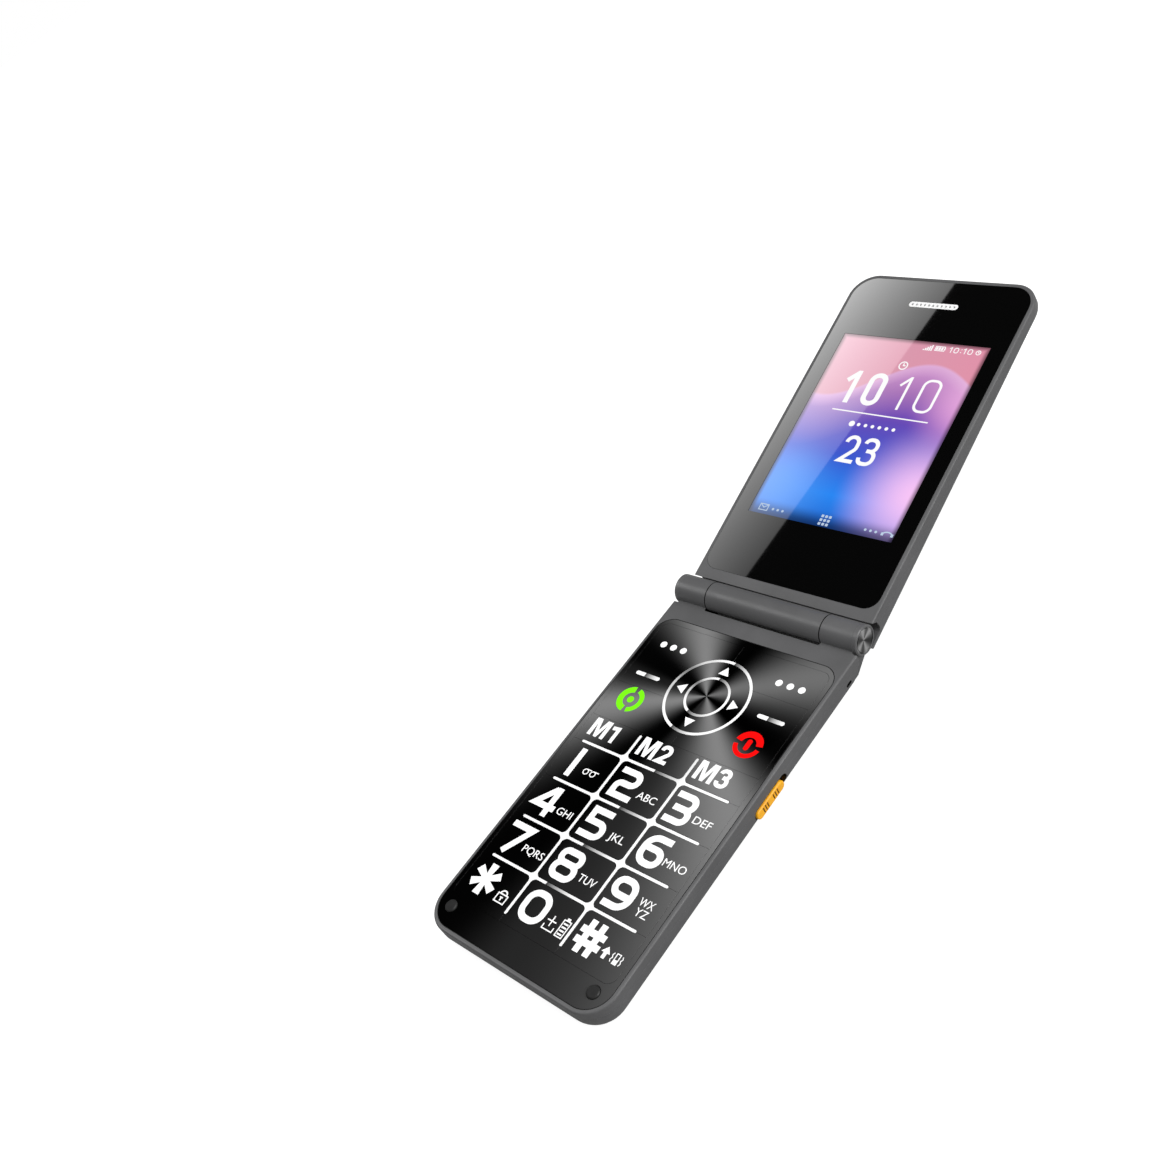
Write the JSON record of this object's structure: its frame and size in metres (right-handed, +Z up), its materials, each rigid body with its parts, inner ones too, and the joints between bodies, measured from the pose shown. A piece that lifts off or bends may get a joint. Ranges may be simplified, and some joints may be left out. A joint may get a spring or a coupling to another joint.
{
  "type": "flip phone",
  "caption": "Slim clamshell phone, opened flat on its back: big-key numeric keypad with round navigation key, tall display lid on a barrel hinge, side slider",
  "frame": {"origin": "centre of the keypad half's flat back, on the surface that it rests on", "axes": "+Z up, out of the keys; +Y along the keypad half, from the chin to the hinge; +X to the user's right"},
  "size_m": [0.0568, 0.2071, 0.0326],
  "materials": {
    "housing": "satin graphite paint",
    "lid_texture": "fine cross-ribbed texture",
    "gloss_panel": "gloss black",
    "keys": "spun-sheen black and grey",
    "white_rib": "gloss white",
    "window_rim": "gloss",
    "glass": "black-printed cover glass",
    "outer_glass": "black lens",
    "display": "display in a metal frame",
    "grille": "satin metal",
    "orange": "satin orange",
    "rubber": "soft black",
    "silicone": "translucent silicone",
    "steel": "plain steel",
    "cap_metal": "turned, dark",
    "battery": "wrapped pack",
    "board": "solder mask",
    "inner_plastic": "black",
    "light_guide": "diffusing",
    "flex": "polyimide"
  },
  "bodies": {
    "base": {"front_housing": "housing", "rear_housing": "housing", "battery_cover": "housing", "battery": "battery", "battery_contacts": "inner_plastic", "keypad_panel": "gloss_panel", "keypad_grid": "white_rib", "nav_ring_trims": "white_rib", "key_mat": "silicone", "main_board": "board", "usb_connector": "steel", "loudspeaker": "inner_plastic", "vibration_motor": "steel", "antenna_carrier": "inner_plastic", "slide_switch_body": "inner_plastic", "bumpers": "rubber", "base_screws": "steel", "hinge_end_caps": "cap_metal", "hinge_cam_shaft": "steel", "hinge_bush": "steel"},
    "lid": {"lid_front_frame": "housing", "lid_rear_shell": "housing", "lid_cover_panel": "lid_texture", "window_trim": "window_rim", "outer_window": "outer_glass", "icon_lights": "light_guide", "display_glass": "glass", "display_module": "display", "earpiece_grille": "grille", "earpiece_speaker": "inner_plastic", "lid_board": "board", "lid_flex": "flex", "hinge_cartridge": "steel", "hinge_follower": "steel", "hinge_spring": "steel"},
    "slider": {"side_slider": "orange"},
    "options_key_left_cap": {"options_key_left": "keys"},
    "options_key_right_cap": {"options_key_right": "keys"},
    "soft_key_left_cap": {"soft_key_left": "keys"},
    "soft_key_right_cap": {"soft_key_right": "keys"},
    "call_key_cap": {"call_key": "keys"},
    "end_key_cap": {"end_key": "keys"},
    "nav_key_cap": {"nav_key": "keys"},
    "ok_key_cap": {"ok_key": "keys"},
    "m1_key_cap": {"m1_key": "keys"},
    "m2_key_cap": {"m2_key": "keys"},
    "m3_key_cap": {"m3_key": "keys"},
    "key_1_cap": {"key_1": "keys"},
    "key_2_cap": {"key_2": "keys"},
    "key_3_cap": {"key_3": "keys"},
    "key_4_cap": {"key_4": "keys"},
    "key_5_cap": {"key_5": "keys"},
    "key_6_cap": {"key_6": "keys"},
    "key_7_cap": {"key_7": "keys"},
    "key_8_cap": {"key_8": "keys"},
    "key_9_cap": {"key_9": "keys"},
    "key_star_cap": {"key_star": "keys"},
    "key_0_cap": {"key_0": "keys"},
    "key_hash_cap": {"key_hash": "keys"}
  },
  "joints": [
    {"name": "lid_hinge", "type": "hinge", "parent": "base", "child": "lid", "pos_m": [0, 0.051, 0.0088], "axis": [1, 0, 0], "range_deg": [0, 166.5]},
    {"name": "side_slide", "type": "slide", "parent": "base", "child": "slider", "axis": [0, 1, 0], "range_m": [0, 0.0016]},
    {"name": "options_key_left_press", "type": "slide", "parent": "base", "child": "options_key_left_cap", "axis": [0, 0, -1], "range_m": [0, 0.0003], "stiffness_N_per_m": 400},
    {"name": "options_key_right_press", "type": "slide", "parent": "base", "child": "options_key_right_cap", "axis": [0, 0, -1], "range_m": [0, 0.0003], "stiffness_N_per_m": 400},
    {"name": "soft_key_left_press", "type": "slide", "parent": "base", "child": "soft_key_left_cap", "axis": [0, 0, -1], "range_m": [0, 0.0003], "stiffness_N_per_m": 400},
    {"name": "soft_key_right_press", "type": "slide", "parent": "base", "child": "soft_key_right_cap", "axis": [0, 0, -1], "range_m": [0, 0.0003], "stiffness_N_per_m": 400},
    {"name": "call_key_press", "type": "slide", "parent": "base", "child": "call_key_cap", "axis": [0, 0, -1], "range_m": [0, 0.0003], "stiffness_N_per_m": 400},
    {"name": "end_key_press", "type": "slide", "parent": "base", "child": "end_key_cap", "axis": [0, 0, -1], "range_m": [0, 0.0003], "stiffness_N_per_m": 400},
    {"name": "nav_key_press", "type": "slide", "parent": "base", "child": "nav_key_cap", "axis": [0, 0, -1], "range_m": [0, 0.0003], "stiffness_N_per_m": 400},
    {"name": "ok_key_press", "type": "slide", "parent": "base", "child": "ok_key_cap", "axis": [0, 0, -1], "range_m": [0, 0.0003], "stiffness_N_per_m": 400},
    {"name": "m1_key_press", "type": "slide", "parent": "base", "child": "m1_key_cap", "axis": [0, 0, -1], "range_m": [0, 0.0003], "stiffness_N_per_m": 400},
    {"name": "m2_key_press", "type": "slide", "parent": "base", "child": "m2_key_cap", "axis": [0, 0, -1], "range_m": [0, 0.0003], "stiffness_N_per_m": 400},
    {"name": "m3_key_press", "type": "slide", "parent": "base", "child": "m3_key_cap", "axis": [0, 0, -1], "range_m": [0, 0.0003], "stiffness_N_per_m": 400},
    {"name": "key_1_press", "type": "slide", "parent": "base", "child": "key_1_cap", "axis": [0, 0, -1], "range_m": [0, 0.0003], "stiffness_N_per_m": 400},
    {"name": "key_2_press", "type": "slide", "parent": "base", "child": "key_2_cap", "axis": [0, 0, -1], "range_m": [0, 0.0003], "stiffness_N_per_m": 400},
    {"name": "key_3_press", "type": "slide", "parent": "base", "child": "key_3_cap", "axis": [0, 0, -1], "range_m": [0, 0.0003], "stiffness_N_per_m": 400},
    {"name": "key_4_press", "type": "slide", "parent": "base", "child": "key_4_cap", "axis": [0, 0, -1], "range_m": [0, 0.0003], "stiffness_N_per_m": 400},
    {"name": "key_5_press", "type": "slide", "parent": "base", "child": "key_5_cap", "axis": [0, 0, -1], "range_m": [0, 0.0003], "stiffness_N_per_m": 400},
    {"name": "key_6_press", "type": "slide", "parent": "base", "child": "key_6_cap", "axis": [0, 0, -1], "range_m": [0, 0.0003], "stiffness_N_per_m": 400},
    {"name": "key_7_press", "type": "slide", "parent": "base", "child": "key_7_cap", "axis": [0, 0, -1], "range_m": [0, 0.0003], "stiffness_N_per_m": 400},
    {"name": "key_8_press", "type": "slide", "parent": "base", "child": "key_8_cap", "axis": [0, 0, -1], "range_m": [0, 0.0003], "stiffness_N_per_m": 400},
    {"name": "key_9_press", "type": "slide", "parent": "base", "child": "key_9_cap", "axis": [0, 0, -1], "range_m": [0, 0.0003], "stiffness_N_per_m": 400},
    {"name": "key_star_press", "type": "slide", "parent": "base", "child": "key_star_cap", "axis": [0, 0, -1], "range_m": [0, 0.0003], "stiffness_N_per_m": 400},
    {"name": "key_0_press", "type": "slide", "parent": "base", "child": "key_0_cap", "axis": [0, 0, -1], "range_m": [0, 0.0003], "stiffness_N_per_m": 400},
    {"name": "key_hash_press", "type": "slide", "parent": "base", "child": "key_hash_cap", "axis": [0, 0, -1], "range_m": [0, 0.0003], "stiffness_N_per_m": 400}
  ]
}
